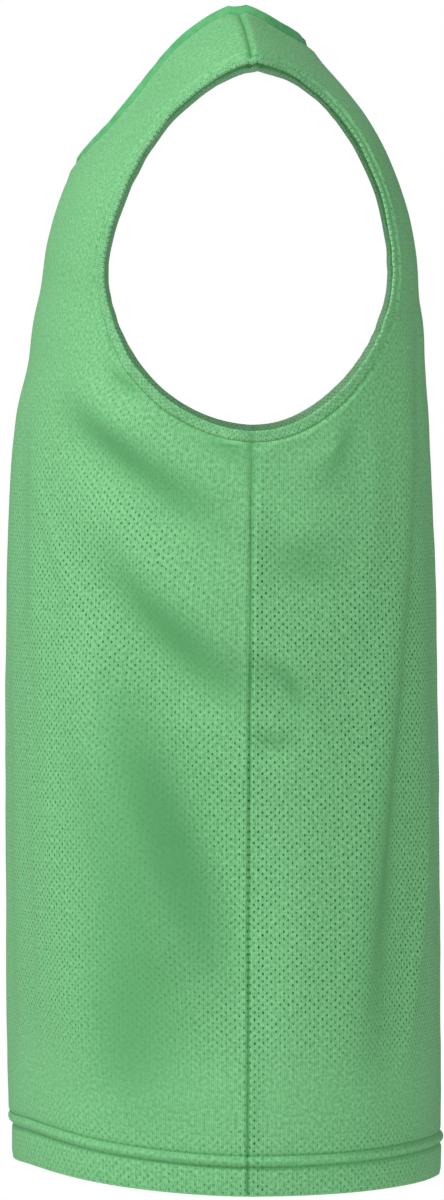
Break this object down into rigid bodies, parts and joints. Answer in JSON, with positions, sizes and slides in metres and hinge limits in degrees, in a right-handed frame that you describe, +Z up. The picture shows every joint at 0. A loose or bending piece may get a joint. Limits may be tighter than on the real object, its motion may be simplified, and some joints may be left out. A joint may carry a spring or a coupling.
{
  "type": "training bib",
  "caption": "Sleeveless mesh-knit training bib, filled out as if worn, with bound neck and armholes and a turned hem",
  "frame": {"origin": "Where the shoulders carry the bib: midway between the two neck points of the shoulder seams, at their height", "axes": "+Z is up, the front faces -Y, and the wearer's left is +X"},
  "size_m": [0.4114, 0.2688, 0.7235],
  "materials": {
    "mesh_knit": "polyester eyelet mesh knit, dyed green",
    "binding_knit": "smooth polyester knit strip, dyed a deeper green"
  },
  "bodies": {
    "root": {"front_panel": "mesh_knit", "back_panel": "mesh_knit", "neck_binding": "binding_knit", "armhole_binding_left": "mesh_knit", "armhole_binding_right": "mesh_knit"}
  },
  "joints": []
}
